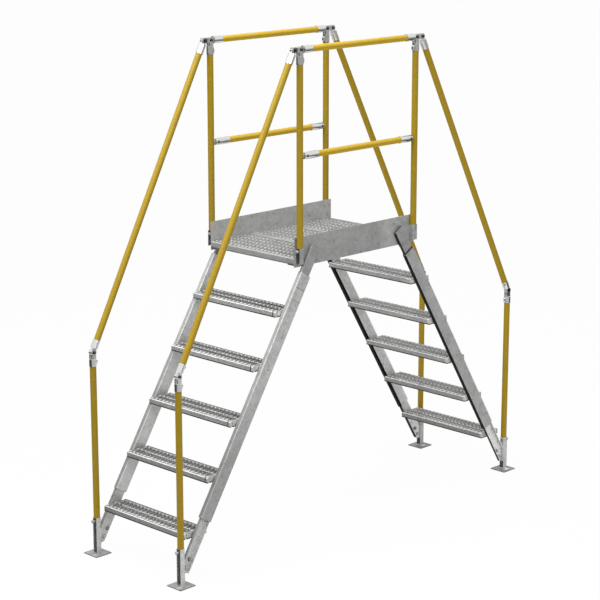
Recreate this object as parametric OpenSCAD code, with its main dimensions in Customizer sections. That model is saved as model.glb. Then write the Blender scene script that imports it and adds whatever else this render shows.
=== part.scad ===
// Crossover ladder: two flights of grating treads up to a railed platform, on four feet.
// Millimetres. X runs over the obstacle, Y across the walkway, Z is up, the floor is Z = 0.
// Near is -Y, far is +Y, left is -X, right is +X.

/* [Platform] */
// Height of the walking surface above the floor
platform_height = 1524; // [1490:1:1560]
// Length of the platform over the obstacle
platform_length = 914; // [890:1:940]
// Clear width between the side plates, also the width of the treads
walk_width = 610; // [560:1:680]
// Thickness of the side plates
side_plate_t = 4; // [3:0.5:6]
// Height of the side plates
side_plate_h = 152; // [140:1:170]
// Height of the side plates above the walking surface
toe_h = 106; // [95:1:112]
// Height of the lips along each deck plank
plank_depth = 32; // [26:1:38]
// Sheet thickness of planks and treads
sheet_t = 3; // [2:0.5:4]
// Outside radius of the bends in sheets, channels and tubes
bend_r = 5; // [4.5:0.5:6]
// Width of the ledge on a side plate that carries the planks
ledge_w = 45; // [30:1:60]
// Thickness of the ledge
ledge_t = 5; // [3:0.5:8]
// Number of deck planks
plank_count = 3; // [2:1:4]
// Gap between neighbouring deck planks
plank_gap = 2; // [1:0.5:4]

/* [Flights] */
// Horizontal distance from one tread to the next
going = 159; // [154:1:164]
// How far the line of noses lies inside the platform end, at deck level
nosing_inset = 25; // [15:1:32]
// Depth of a tread from nose to back
tread_depth = 148; // [135:1:156]
// Height of a tread's front and back lips
tread_lip = 29; // [24:1:34]
// Length of the bolting pads at the ends of a tread
pad_l = 40; // [30:1:50]
// Distance from a bolting pad to the top and to the lower edge of its tread
pad_margin = 4; // [2:0.5:6]

/* [Grating] */
// Length of a diamond opening, from nose to back
diamond_l = 36; // [30:1:38]
// Width of a diamond opening, across the walkway
diamond_w = 18; // [14:0.5:20]
// Distance between diamonds in a row
diamond_pitch = 28; // [26:0.5:32]
// Distance between rows of diamonds
row_pitch = 25.75; // [25:0.25:30]
// Least solid margin in front of and behind the diamonds of a tread
tread_margin = 4; // [4:0.5:8]
// Least solid margin beside the diamonds of a deck plank
plank_margin = 12; // [8:1:20]
// Least solid margin at the ends of the rows
end_margin = 10; // [6:1:20]
// Width of the open slit at each front corner of a tread, between lip and end plate
corner_slit = 14; // [8:1:18]

/* [Stringers] */
// Depth of the stringer tube, square to the slope
stringer_depth = 76; // [70:1:84]
// Width of the stringer tube
stringer_w = 25; // [23:1:30]
// Wall of the stringer tube
stringer_wall = 3; // [2:0.5:3.5]
// How far the noses stand out in front of the stringers, square to the slope
nose_projection = 37; // [30:1:42]
// Distance along the slope from deck level down to the top of the stringer tube
stringer_drop = 56; // [48:1:66]

/* [Stubs] */
// Depth of the channel stubs that slide into the stringers
stub_depth = 62; // [54:1:63]
// Wall of the stubs
stub_wall = 3; // [2:0.5:4]
// Length of a stub inside its stringer
stub_overlap = 150; // [100:5:220]
// Length of a platform stub above the end of its stringer
platform_stub_len = 152; // [140:1:170]
// Distance from the upper end of a platform stub down to its packing strip
packing_inset = 20; // [10:1:30]
// Width of a platform stub
platform_stub_w = 15; // [12:1:16]
// Length of a leg stub between its stringer and its leg, along its middle line
leg_stub_len = 272; // [240:1:300]
// Height of the lower end of a leg stub above the floor
stub_foot_z = 57; // [48:1:62]
// Radius of the rounded lower corner of a leg stub
stub_foot_r = 16; // [8:1:20]

/* [Feet] */
// Height above the floor at which the middle line of a leg stub meets its leg
leg_joint_z = 74.4; // [70:0.1:90]
// Distance from the inner face of a stringer out to the leg axis
leg_offset = 11; // [9:0.5:14]
// Outside width of the leg channel and the post sockets
leg_side = 30; // [28:0.5:34]
// Wall of the leg channel
leg_wall = 3; // [2.5:0.5:4]
// Height of the leg top above the floor
leg_height = 197; // [180:1:220]
// Side of the square base plate
base_side = 100; // [90:1:120]
// Thickness of the base plate
base_t = 6; // [4:0.5:10]
// Length of the plug that a post fits over
plug_len = 40; // [25:1:60]
// Height of a post socket
socket_h = 83; // [70:1:90]
// Height of the socket top above the walking surface
socket_rise = 55; // [48:1:62]

/* [Rails] */
// Outside diameter of the rail tubes
tube_od = 33.4; // [32:0.1:34.5]
// Wall of the rail tubes
tube_wall = 3; // [2:0.5:4]
// Height of the top rail axis above the walking surface
rail_height = 1053; // [1000:1:1080]
// Height of the middle rail axis above the walking surface
mid_height = 522; // [480:1:560]
// Height of the knee axis above the floor
knee_height = 1074; // [1040:1:1110]
// Distance from the end of the platform to the post axis
post_inset = 23.5; // [20:0.5:28]

/* [Fittings] */
// Outside diameter of the fitting sleeves
sleeve_od = 38; // [37.5:0.5:41]
// Radial play between a tube and its sleeve
fit_gap = 0.3; // [0.2:0.1:0.5]
// Thickness of the closed end of a sleeve
cap_t = 7; // [5:0.5:9]
// Radius of the swivel eyes
eye_r = 16; // [14:0.5:17]
// Thickness of the centre tongue of a swivel
tongue_t = 11; // [9:0.5:13]
// Thickness of the fork cheeks of a swivel
cheek_t = 6; // [4:0.5:7]
// Diameter of the swivel pins
pin_d = 10; // [8:0.5:12]
// How far a pin stands out of each side of its fork
pin_stand = 3; // [1:0.5:5]
// Room between a swivel eye and the sleeve beside it
eye_clear = 4; // [3:0.5:6]
// How much narrower than its eye the shank of a swivel is
shank_inset = 6; // [4:0.5:8]
// Distance from the post axis to the pin of the sloping rail
pin_offset = 44; // [42:0.5:48]
// Distance from the post axis to the end of the top rail sleeve
rail_sleeve_end = 78; // [70:1:88]
// Distance from the top rail axis to the lower end of the post sleeve
post_sleeve_end = 73; // [70:1:84]
// Length of the post sleeve
post_sleeve_len = 42; // [36:1:46]
// Distance from the upper pin to the end of a sloping sleeve
slope_sleeve_end = 73; // [68:1:85]
// Distance from the knee axis to the end of the sloping sleeve at a knee
knee_slope_end = 64; // [58:1:80]
// Distance from the knee axis to the lower end of the knee sleeve
knee_sleeve_end = 72; // [68:1:90]
// Length of the knee sleeve on the lower post
knee_sleeve_len = 36; // [30:1:40]
// Distance from the post axis to the end of a middle rail sleeve
mid_sleeve_end = 137; // [125:1:150]
// Length of a middle rail sleeve
mid_sleeve_len = 62; // [54:1:70]
// Distance from the post axis to the pin of a middle rail swivel
mid_pin = 26; // [25:0.5:30]
// How much narrower than the shank the neck of a middle rail swivel is
neck_inset = 4; // [2:0.5:8]

/* [Hidden] */
$fn = 48;
steps = 6;
rise = platform_height / steps;
slope = atan2(rise, going);
nose_x = platform_length / 2 - nosing_inset;
plate_y = walk_width / 2 + side_plate_t;
per_row = floor((walk_width - 2 * end_margin) / diamond_pitch);
post_x = platform_length / 2 - post_inset;
post_y = plate_y + leg_side / 2;
// Depth of the stringers' middle line behind the line of noses
mid_back = nose_projection + stringer_depth / 2;
// Distance down the slope from deck level to the point where the middle line meets the leg
leg_run = (platform_height - leg_joint_z - mid_back * cos(slope)) / sin(slope);
foot_cut = nose_x + leg_run * cos(slope) - mid_back * sin(slope);
leg_x = foot_cut + leg_side / 2;
stringer_len = leg_run - leg_stub_len - stringer_drop;
leg_y = plate_y + leg_offset;
rail_z = platform_height + rail_height;
mid_z = platform_height + mid_height;
socket_z = platform_height + socket_rise;
pin_x = post_x + pin_offset;
sleeve_id = tube_od + 2 * fit_gap;
plug_d = tube_od - 2 * tube_wall - 2 * fit_gap;
stub_w = stringer_w - 2 * stringer_wall;
stub_y = plate_y + stringer_wall;
platform_stub_depth = stringer_depth - 2 * bend_r - 2 * fit_gap;
eye_start = eye_r + eye_clear;
shank_w = 2 * eye_r - shank_inset;
fork_gap = tongue_t + 2 * fit_gap;
fork_w = fork_gap + 2 * cheek_t;
post_sleeve_start = post_sleeve_end - post_sleeve_len;
knee_sleeve_start = knee_sleeve_end - knee_sleeve_len;
mid_sleeve_start = mid_sleeve_end - mid_sleeve_len;
// Vector from the upper pin of a sloping rail to its knee, on the left near side
slope_vec = [pin_x - leg_x, post_y - leg_y, knee_height - rail_z];
slope_len = norm(slope_vec);
slope_tilt = atan2(slope_vec[0], slope_vec[2]);

// Puts children, drawn for the left near corner, at another corner
module corner(right = false, far = false) {
    mirror([right ? 1 : 0, 0, 0])
        mirror([0, far ? 1 : 0, 0])
            children();
}

// Turns children, drawn along +X with +Y up, onto the slope of the left flight.
// The origin is the point where the line of noses meets deck level.
module on_slope() {
    translate([-nose_x, 0, platform_height])
        rotate([90, 0, 0])
            rotate([0, 0, slope])
                children();
}

// Rectangle from the origin with rounded corners
module rounded(w, h, r) {
    translate([r, 0])
        square([w - 2 * r, h]);
    translate([0, r])
        square([w, h - 2 * r]);
    for (x = [r, w - r])
        for (y = [r, h - r])
            translate([x, y])
                circle(r = r);
}

// Outline of a bent channel: its back along X at the origin, its open side towards +Y
module channel_outline(w, h) {
    intersection() {
        rounded(w, h + 2 * bend_r, bend_r);
        square([w, h]);
    }
}

// Hollow of that channel
module channel_hollow(w, h, wall) {
    translate([wall, wall])
        rounded(w - 2 * wall, h + wall, bend_r - wall);
}

module channel_profile(w, h, wall) {
    difference() {
        channel_outline(w, h);
        channel_hollow(w, h, wall);
    }
}

// Profile of a rectangular tube
module tube_profile(w, h, wall) {
    difference() {
        rounded(w, h, bend_r);
        translate([wall, wall])
            rounded(w - 2 * wall, h - 2 * wall, bend_r - wall);
    }
}

// Extrudes a profile along +X, with the profile's X along Y and its Y along Z
module along_x(l) {
    rotate([90, 0, 90])
        linear_extrude(l)
            children();
}

// Extrudes a profile along Y, centred, with the profile's Y along Z
module along_y(l) {
    translate([0, l / 2, 0])
        rotate([90, 0, 0])
            linear_extrude(l)
                children();
}

// Turns a channel's outline or profile upright, centred, with its open side towards -X
module upright() {
    translate([leg_side / 2, -leg_side / 2])
        rotate([0, 0, 90])
            children();
}

// An upright channel with a closed top and a plug that a tube fits over
module plugged_channel(h) {
    linear_extrude(h)
        upright()
            channel_profile(leg_side, leg_side, leg_wall);
    translate([0, 0, h - leg_wall]) {
        linear_extrude(leg_wall)
            upright()
                channel_outline(leg_side, leg_side);
        cylinder(d = plug_d, h = leg_wall + plug_len);
    }
}

module foot() {
    translate([-leg_x, -leg_y, 0]) {
        translate([-base_side / 2, -base_side / 2, 0])
            cube([base_side, base_side, base_t]);
        translate([0, 0, base_t])
            plugged_channel(leg_height - base_t);
    }
}

// Outline of a leg stub's lower end in XZ, upright against the leg and rounded at the rear corner
module stub_end() {
    back = mid_back + stub_depth / 2;
    run = (platform_height - stub_foot_z - back * cos(slope)) / sin(slope);
    corner_x = -nose_x - run * cos(slope) + back * sin(slope);
    tangent = stub_foot_r * tan(slope / 2);
    intersection() {
        translate([-foot_cut, 0])
            square([foot_cut, platform_height]);
        union() {
            polygon([[-foot_cut, stub_foot_z], [corner_x - tangent, stub_foot_z],
                [corner_x + tangent * cos(slope), stub_foot_z + tangent * sin(slope)],
                [0, stub_foot_z + tangent * sin(slope)], [0, platform_height],
                [-foot_cut, platform_height]]);
            translate([corner_x - tangent, stub_foot_z + stub_foot_r])
                circle(r = stub_foot_r);
        }
    }
}

// Channel stub between a stringer and its leg, open to the outside
module leg_stub() {
    low = stringer_drop + stringer_len;
    l = stub_overlap + leg_stub_len + 2 * stub_depth;
    intersection() {
        translate([0, -stub_y, 0])
            on_slope()
                translate([-low + stub_overlap - l, -mid_back - stub_depth / 2, 0])
                    along_x(l)
                        channel_profile(stub_depth, stub_w, stub_wall);
        translate([0, -stub_y + 1, 0])
            rotate([90, 0, 0])
                linear_extrude(stub_w + 2)
                    stub_end();
    }
}

// Channel stub that carries the stringer on the side plate, with a packing strip between them
module platform_stub() {
    back = mid_back + platform_stub_depth / 2;
    l = stub_overlap + platform_stub_len;
    translate([0, -stub_y, 0])
        on_slope()
            translate([-stringer_drop - stub_overlap, -back, platform_stub_w])
                along_x(l)
                    mirror([0, 1])
                        channel_profile(platform_stub_depth, platform_stub_w, stub_wall);
    translate([0, -plate_y, 0])
        on_slope()
            translate([0, -back, 0])
                cube([platform_stub_len - stringer_drop - packing_inset, platform_stub_depth,
                    stringer_wall]);
}

module stringer() {
    translate([0, -plate_y, 0])
        on_slope()
            translate([-stringer_drop - stringer_len, -nose_projection - stringer_depth, 0])
                along_x(stringer_len)
                    tube_profile(stringer_depth, stringer_w, stringer_wall);
}

// Staggered rows of diamond openings centred on the origin, cut along Z
module diamonds(rows, per_row, h) {
    for (r = [0 : rows - 1])
        for (i = [0 : per_row - 1 - r % 2])
            translate([(r - (rows - 1) / 2) * row_pitch,
                (i - (per_row - 1 - r % 2) / 2) * diamond_pitch, 0])
                linear_extrude(h)
                    polygon([[-diamond_l / 2, 0], [0, -diamond_w / 2],
                        [diamond_l / 2, 0], [0, diamond_w / 2]]);
}

// Number of rows of diamonds in a sheet of a given depth
function row_count(depth, margin) = 1 + floor((depth - 2 * margin - diamond_l) / row_pitch);

// Grating tread with lips front and back, end plates and bolting pads
module tread(i) {
    pad_x = mid_back / sin(slope);
    // The lowest tread is carried by the leg stubs, which lie inside the stringers
    pad_t = side_plate_t + (i == 1 ? stringer_wall : 0);
    translate([-nose_x - going * (steps - i), 0, rise * i]) {
        difference() {
            along_y(walk_width)
                mirror([0, 1])
                    channel_outline(tread_depth, tread_lip);
            along_y(walk_width - 2 * sheet_t)
                mirror([0, 1])
                    channel_hollow(tread_depth, tread_lip, sheet_t);
            translate([tread_depth / 2, 0, -sheet_t - 1])
                diamonds(row_count(tread_depth, tread_margin), per_row, sheet_t + 2);
            for (y = [-walk_width / 2 - 1, walk_width / 2 - sheet_t - 1])
                translate([sheet_t, y, -tread_lip - 1])
                    cube([corner_slit, sheet_t + 2, tread_lip - sheet_t + 1]);
        }
        for (s = [-1, 1])
            translate([pad_x - pad_l / 2, s * (walk_width + pad_t) / 2 - pad_t / 2,
                -tread_lip + pad_margin])
                cube([pad_l, pad_t, tread_lip - 2 * pad_margin]);
    }
}

module left_tread(i) {
    color("Gainsboro")
        tread(i);
}

module right_tread(i) {
    color("Gainsboro")
        corner(right = true)
            tread(i);
}

// Grating planks across the platform, each a sheet with two lips
module deck_planks() {
    plank_w = (platform_length - (plank_count - 1) * plank_gap) / plank_count;
    color("Gainsboro")
        for (k = [0 : plank_count - 1])
            translate([-platform_length / 2 + k * (plank_w + plank_gap), 0, platform_height])
                difference() {
                    along_y(walk_width)
                        mirror([0, 1])
                            channel_profile(plank_w, plank_depth, sheet_t);
                    translate([plank_w / 2, 0, -sheet_t - 1])
                        diamonds(row_count(plank_w, plank_margin), per_row, sheet_t + 2);
                }
}

// Side plate, also the toe board, with a ledge under the ends of the planks
module side_plate() {
    translate([-platform_length / 2, -plate_y, platform_height]) {
        translate([0, 0, toe_h - side_plate_h])
            cube([platform_length, side_plate_t, side_plate_h]);
        translate([0, 0, -plank_depth - ledge_t])
            cube([platform_length, side_plate_t + ledge_w, ledge_t]);
    }
}

module post_sockets() {
    for (right = [false, true])
        corner(right = right)
            translate([-post_x, -post_y, socket_z - socket_h])
                plugged_channel(socket_h);
}

module rail_tube(l) {
    difference() {
        cylinder(d = tube_od, h = l);
        translate([0, 0, -1])
            cylinder(d = tube_od - 2 * tube_wall, h = l + 2);
    }
}

module posts() {
    for (right = [false, true])
        corner(right = right)
            translate([-post_x, -post_y, socket_z])
                rail_tube(rail_z - post_sleeve_start - cap_t - fit_gap - socket_z);
}

// Level tube between the left and right posts, its ends a distance from the post axes
module level_rail(z, end) {
    l = 2 * (post_x - end);
    translate([-l / 2, -post_y, z])
        rotate([0, 90, 0])
            rail_tube(l);
}

// Turns children, drawn along +Z from the origin, along the sloping rail of the left near side
module along_slope_rail() {
    translate([-pin_x, -post_y, rail_z])
        rotate([0, acos(slope_vec[2] / slope_len), atan2(slope_vec[1], slope_vec[0])])
            children();
}

module sloping_rail() {
    start = eye_start + cap_t + fit_gap;
    along_slope_rail()
        translate([0, 0, start])
            rail_tube(slope_len - 2 * start);
}

module lower_posts() {
    for (far = [false, true])
        corner(far = far)
            translate([-leg_x, -leg_y, leg_height])
                rail_tube(knee_height - knee_sleeve_start - cap_t - fit_gap - leg_height);
}

// Sleeve along +Z with a closed lower end, from start to end
module sleeve(start, end) {
    difference() {
        translate([0, 0, start])
            cylinder(d = sleeve_od, h = end - start);
        translate([0, 0, start + cap_t])
            cylinder(d = sleeve_id, h = end - start);
    }
}

// Flat eye around a pin along Y at the origin, with a shank up +Z to a length
module eye(t, l) {
    rotate([90, 0, 0])
        linear_extrude(t, center = true) {
            circle(r = eye_r);
            translate([-shank_w / 2, 0])
                square([shank_w, l]);
        }
}

// Places children as the two cheeks of a fork, drawn flat in XZ
module cheeks() {
    for (s = [-1, 1])
        translate([0, s * (fork_gap + cheek_t) / 2, 0])
            rotate([90, 0, 0])
                linear_extrude(cheek_t, center = true)
                    children();
}

module pin() {
    rotate([90, 0, 0])
        cylinder(d = pin_d, h = fork_w + 2 * pin_stand, center = true);
}

// Corner swivel: sockets for the top rail and the post, and a swivel for the sloping rail
module top_fitting() {
    shank = post_sleeve_start + cap_t / 2;
    translate([-post_x, -post_y, rail_z]) {
        rotate([0, 90, 0]) {
            sleeve(eye_start, rail_sleeve_end);
            eye(tongue_t, eye_start + cap_t / 2);
        }
        rotate([180, 0, 0])
            sleeve(post_sleeve_start, post_sleeve_end);
        cheeks() {
            circle(r = eye_r);
            translate([-pin_offset, 0])
                circle(r = eye_r);
            translate([-pin_offset, -shank_w / 2])
                square([pin_offset, shank_w]);
            translate([-shank_w / 2, -shank])
                square([shank_w, shank]);
        }
        pin();
        translate([-pin_offset, 0, 0]) {
            pin();
            rotate([0, slope_tilt, 0])
                eye(tongue_t, eye_start + cap_t / 2);
        }
    }
    along_slope_rail()
        sleeve(eye_start, slope_sleeve_end);
}

// Knee swivel between a sloping rail and its lower post
module knee_fitting() {
    shank = knee_sleeve_start + cap_t / 2;
    translate([-leg_x, -leg_y, knee_height]) {
        rotate([180, 0, 0])
            sleeve(knee_sleeve_start, knee_sleeve_end);
        cheeks() {
            circle(r = eye_r);
            translate([-shank_w / 2, -shank])
                square([shank_w, shank]);
        }
        pin();
        rotate([0, slope_tilt + 180, 0])
            eye(tongue_t, eye_start + cap_t / 2);
    }
    along_slope_rail()
        translate([0, 0, slope_len])
            rotate([180, 0, 0])
                sleeve(eye_start, knee_slope_end);
}

// Swivel that holds the middle rail on a post, seated on the post with a saddle block
module mid_fitting() {
    translate([-post_x, -post_y, mid_z]) {
        difference() {
            union() {
                translate([mid_pin, 0, 0])
                    rotate([0, -90, 0])
                        eye(fork_w, mid_pin);
                translate([mid_pin, 0, 0])
                    pin();
            }
            translate([0, 0, -2 * eye_r])
                cylinder(d = sleeve_id, h = 4 * eye_r);
        }
        rotate([0, 90, 0])
            sleeve(mid_sleeve_start, mid_sleeve_end);
        translate([mid_pin, -tongue_t / 2, -(shank_w - neck_inset) / 2])
            cube([mid_sleeve_start - mid_pin + cap_t / 2, tongue_t, shank_w - neck_inset]);
    }
}

module foot_at(right, far) {
    color("Silver")
        corner(right = right, far = far)
            foot();
}

module leg_stubs(right) {
    color("Silver")
        for (far = [false, true])
            corner(right = right, far = far)
                leg_stub();
}

module platform_stubs(far) {
    color("Silver")
        for (right = [false, true])
            corner(right = right, far = far)
                platform_stub();
}

module stringer_at(right, far) {
    color("LightGray")
        corner(right = right, far = far)
            stringer();
}

module side_plate_at(far) {
    color("LightGray")
        corner(far = far)
            side_plate();
}

module post_sockets_at(far) {
    color("Silver")
        corner(far = far)
            post_sockets();
}

module posts_at(far) {
    color("Goldenrod")
        corner(far = far)
            posts();
}

module top_rail(far) {
    color("Goldenrod")
        corner(far = far)
            level_rail(rail_z, eye_start + cap_t + fit_gap);
}

module mid_rail(far) {
    color("Goldenrod")
        corner(far = far)
            level_rail(mid_z, mid_sleeve_start + cap_t + fit_gap);
}

module sloping_rail_at(right, far) {
    color("Goldenrod")
        corner(right = right, far = far)
            sloping_rail();
}

module lower_posts_at(right) {
    color("Goldenrod")
        corner(right = right)
            lower_posts();
}

module top_fittings(far) {
    color("WhiteSmoke")
        for (right = [false, true])
            corner(right = right, far = far)
                top_fitting();
}

module knee_fittings(right) {
    color("WhiteSmoke")
        for (far = [false, true])
            corner(right = right, far = far)
                knee_fitting();
}

module mid_fittings(far) {
    color("WhiteSmoke")
        for (right = [false, true])
            corner(right = right, far = far)
                mid_fitting();
}

foot_at(false, false);  // left_near_foot
foot_at(false, true);  // left_far_foot
foot_at(true, false);  // right_near_foot
foot_at(true, true);  // right_far_foot
leg_stubs(false);  // left_leg_stubs
leg_stubs(true);  // right_leg_stubs
platform_stubs(false);  // near_platform_stubs
platform_stubs(true);  // far_platform_stubs
stringer_at(false, false);  // left_near_stringer
stringer_at(false, true);  // left_far_stringer
stringer_at(true, false);  // right_near_stringer
stringer_at(true, true);  // right_far_stringer
left_tread(1);  // left_tread_1
left_tread(2);  // left_tread_2
left_tread(3);  // left_tread_3
left_tread(4);  // left_tread_4
left_tread(5);  // left_tread_5
right_tread(1);  // right_tread_1
right_tread(2);  // right_tread_2
right_tread(3);  // right_tread_3
right_tread(4);  // right_tread_4
right_tread(5);  // right_tread_5
deck_planks();
side_plate_at(false);  // near_side_plate
side_plate_at(true);  // far_side_plate
post_sockets_at(false);  // near_post_sockets
post_sockets_at(true);  // far_post_sockets
posts_at(false);  // near_posts
posts_at(true);  // far_posts
top_rail(false);  // near_top_rail
top_rail(true);  // far_top_rail
mid_rail(false);  // near_mid_rail
mid_rail(true);  // far_mid_rail
sloping_rail_at(false, false);  // left_near_sloping_rail
sloping_rail_at(false, true);  // left_far_sloping_rail
sloping_rail_at(true, false);  // right_near_sloping_rail
sloping_rail_at(true, true);  // right_far_sloping_rail
lower_posts_at(false);  // left_lower_posts
lower_posts_at(true);  // right_lower_posts
top_fittings(false);  // near_top_fittings
top_fittings(true);  // far_top_fittings
knee_fittings(false);  // left_knee_fittings
knee_fittings(true);  // right_knee_fittings
mid_fittings(false);  // near_mid_fittings
mid_fittings(true);  // far_mid_fittings
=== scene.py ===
# %% [markdown]
# # A crossover ladder
#
# This lesson dresses a crossover ladder: two flights of grating treads, a railed platform between them,
# galvanised steel below and yellow rails above. The sizes come from a packed construction model, which is
# loaded as a fixed frame. Blender adds what the construction leaves out, such as bolts, screws, welds and
# the teeth of the gratings, and gives every surface its finish.

# %% Load the construction
import math

import bpy
from mathutils import Matrix, Vector


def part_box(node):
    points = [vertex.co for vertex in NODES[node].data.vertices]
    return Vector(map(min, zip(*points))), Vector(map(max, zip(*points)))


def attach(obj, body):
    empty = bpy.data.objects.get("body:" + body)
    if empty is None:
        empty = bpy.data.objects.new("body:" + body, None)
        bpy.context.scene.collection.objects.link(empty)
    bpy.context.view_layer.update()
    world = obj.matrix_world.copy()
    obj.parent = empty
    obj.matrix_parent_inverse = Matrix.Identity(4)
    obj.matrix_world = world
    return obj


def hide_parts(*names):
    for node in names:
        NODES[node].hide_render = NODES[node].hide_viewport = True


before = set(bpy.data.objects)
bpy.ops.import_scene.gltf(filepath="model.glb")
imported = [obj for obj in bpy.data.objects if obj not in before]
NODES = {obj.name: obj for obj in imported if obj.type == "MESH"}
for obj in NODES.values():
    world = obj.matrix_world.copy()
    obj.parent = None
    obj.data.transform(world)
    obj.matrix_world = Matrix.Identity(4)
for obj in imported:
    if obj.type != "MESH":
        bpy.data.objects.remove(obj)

SCENE = bpy.context.scene
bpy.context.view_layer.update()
MM = 0.001

# %% [markdown]
# ## The camera
#
# The ladder is seen from its left near corner, a little above the deck, through a long lens. A long lens far
# away keeps upright posts almost parallel, so the distance and the focal length are set together. The camera
# stands at a fixed place and is turned by an azimuth and tipped by an elevation.

# %% Place the camera
AZIMUTH = math.radians(-45.612)
ELEVATION = math.radians(13.58)
CAMERA_PLACE = (-7.2469, -6.9946, 3.6130)
LENS_MM = 115.98
SENSOR_MM = 36

camera_data = bpy.data.cameras.new("camera")
camera_data.lens = LENS_MM
camera_data.sensor_width = SENSOR_MM
camera = bpy.data.objects.new("camera", camera_data)
camera.location = CAMERA_PLACE
camera.rotation_euler = (math.pi / 2 - ELEVATION, 0, AZIMUTH)
SCENE.collection.objects.link(camera)
SCENE.camera = camera
print("camera looks along", [round(c, 3) for c in camera.rotation_euler.to_matrix() @ Vector((0, 0, -1))])

# %% [markdown]
# ## Writing shader maths as expressions
#
# A finish is a tree of shader nodes. Wiring each Math node by hand hides the idea, so one small class wraps
# a socket and lets Python's operators add the nodes: `1 - mask * 0.5` makes two Math nodes and links them.
# Every other kind of node comes from one method that takes its type, its settings and its sockets.


# %% A wire of a shader tree
class Wire:
    """An output socket of a shader tree. Operators on it add Math nodes."""

    def __init__(self, tree, socket):
        self.tree = tree
        self.socket = socket

    def math(self, operation, first, second):
        return self.tree.node("ShaderNodeMath", {"operation": operation}, {0: first, 1: second})

    def __add__(self, other):
        return self.math("ADD", self, other)

    def __radd__(self, other):
        return self.math("ADD", other, self)

    def __sub__(self, other):
        return self.math("SUBTRACT", self, other)

    def __rsub__(self, other):
        return self.math("SUBTRACT", other, self)

    def __mul__(self, other):
        return self.math("MULTIPLY", self, other)

    def __rmul__(self, other):
        return self.math("MULTIPLY", other, self)

    def __mod__(self, other):
        return self.math("FLOORED_MODULO", self, other)

    def __abs__(self):
        return self.tree.node("ShaderNodeMath", {"operation": "ABSOLUTE"}, {0: self})

    def between(self, low, high):
        """0 at low, 1 at high, smooth between. Low may be above high."""
        sockets = {"Value": self, "From Min": low, "From Max": high}
        return self.tree.node("ShaderNodeMapRange", {"interpolation_type": "SMOOTHSTEP"}, sockets)


# %% A shader tree that grows by calls
class Tree:
    """The node tree of a material or of the world."""

    def __init__(self, nodes_owner):
        nodes_owner.use_nodes = True
        self.nodes = nodes_owner.node_tree.nodes
        self.links = nodes_owner.node_tree.links

    def node(self, kind, settings=None, sockets=None, output=0):
        made = self.nodes.new(kind)
        for key, value in (settings or {}).items():
            setattr(made, key, value)
        for key, value in (sockets or {}).items():
            self.feed(made.inputs[key], value)
        return Wire(self, made.outputs[output])

    def feed(self, socket, value):
        if isinstance(value, Wire):
            self.links.new(value.socket, socket)
        elif socket.type == "RGBA":
            socket.default_value = (*value, 1)
        else:
            socket.default_value = value

    def part_of(self, vector, axis):
        return self.node("ShaderNodeSeparateXYZ", None, {0: vector}, "XYZ".index(axis))

    def ray(self, kind):
        """1 for rays of one kind, such as Camera or Glossy, else 0."""
        return self.node("ShaderNodeLightPath", output=f"Is {kind} Ray")

    def shown_or_mirrored(self):
        """1 for rays from the camera, from mirrors and through glass, 0 for light that bounces softly."""
        return (self.ray("Camera") + self.ray("Glossy") + self.ray("Transmission")).between(0, 1)


# %% A finish is a tree with a Principled shader
MIX_MASK, MIX_FIRST, MIX_SECOND, MIX_COLOUR = 0, 6, 7, 2


class Finish(Tree):
    """A material built from nodes."""

    def __init__(self, name):
        self.material = bpy.data.materials.new(name)
        super().__init__(self.material)
        self.shader = self.nodes["Principled BSDF"]
        self.place = self.node("ShaderNodeTexCoord", output="Object")

    def surface(self, **sockets):
        for key, value in sockets.items():
            self.feed(self.shader.inputs[key.replace("_", " ")], value)

    def noise(self, scale, detail, roughness=0.5):
        sockets = {"Vector": self.place, "Scale": scale, "Detail": detail, "Roughness": roughness}
        return self.node("ShaderNodeTexNoise", None, sockets)

    def mix(self, mask, first, second):
        sockets = {MIX_MASK: mask, MIX_FIRST: first, MIX_SECOND: second}
        return self.node("ShaderNodeMix", {"data_type": "RGBA"}, sockets, MIX_COLOUR)

    def shade(self, colour, factor):
        """Multiplies a colour by a value."""
        return self.node("ShaderNodeVectorMath", {"operation": "SCALE"}, {0: colour, "Scale": factor})

    def bump(self, height, distance, strength):
        sockets = {"Height": height, "Distance": distance, "Strength": strength}
        return self.node("ShaderNodeBump", None, sockets)

    def mm(self, axis):
        """Place along an axis of the ladder, in millimetres."""
        return self.part_of(self.place, axis) * (1 / MM)

    def facing(self, axis):
        """1 on faces that look along an axis, -1 on faces that look the other way."""
        return self.part_of(self.node("ShaderNodeNewGeometry", output="Normal"), axis)


print("finish classes ready")

# %% [markdown]
# ## Where painted shade, highlights and marks go
#
# Steel that is used outdoors is dirty in some places and worn bright in others, and light and shade fall on
# it.
# Most of the masks below paint shade, shadows, highlights and reflections into the colour; a few hold marks,
# dark seams and edges, and worn strips. They could be painted on by hand, but a mask that is worked out from
# a point's place on the ladder needs no picture and follows the construction. So a few functions measure
# where a point lies and which way its face looks, and then each kind of piece has a small function for its
# painted light and shade or its marks.

# %% Measure places on the ladder
DECK_Z = 1524
RISE = 254
GOING = 159
NOSE_X = 432
SLOPE = math.atan2(RISE, GOING)
LEG_X = 1265.94
LEG_Y = 320
POST_X = 433.5
POST_Y = 324
RAIL_Z = 2577
BASE_TOP = 6
FRONT_EDGE = 37
REAR_EDGE = 113
HAIR = 0.5


def down_slope(finish):
    """Distance down the slope of a flight, from deck level."""
    outward = abs(finish.mm("X")) - NOSE_X
    return outward * math.cos(SLOPE) + (DECK_Z - finish.mm("Z")) * math.sin(SLOPE)


def below_noses(finish):
    """Distance of a point below the sloping line that joins the noses of a flight."""
    outward = abs(finish.mm("X")) - NOSE_X
    return (DECK_Z - finish.mm("Z")) * math.cos(SLOPE) - outward * math.sin(SLOPE)


def behind_nose(finish):
    """Distance of a point on a tread behind the tread's nose. The hair keeps the nose itself at 0."""
    return GOING - HAIR - (abs(finish.mm("X")) - NOSE_X - HAIR) % GOING


def below_top(finish):
    """Distance of a point on a tread below the tread's top."""
    return RISE - HAIR - (finish.mm("Z") - HAIR) % RISE


def left_side(finish):
    return finish.mm("X").between(1, -1)


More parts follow.
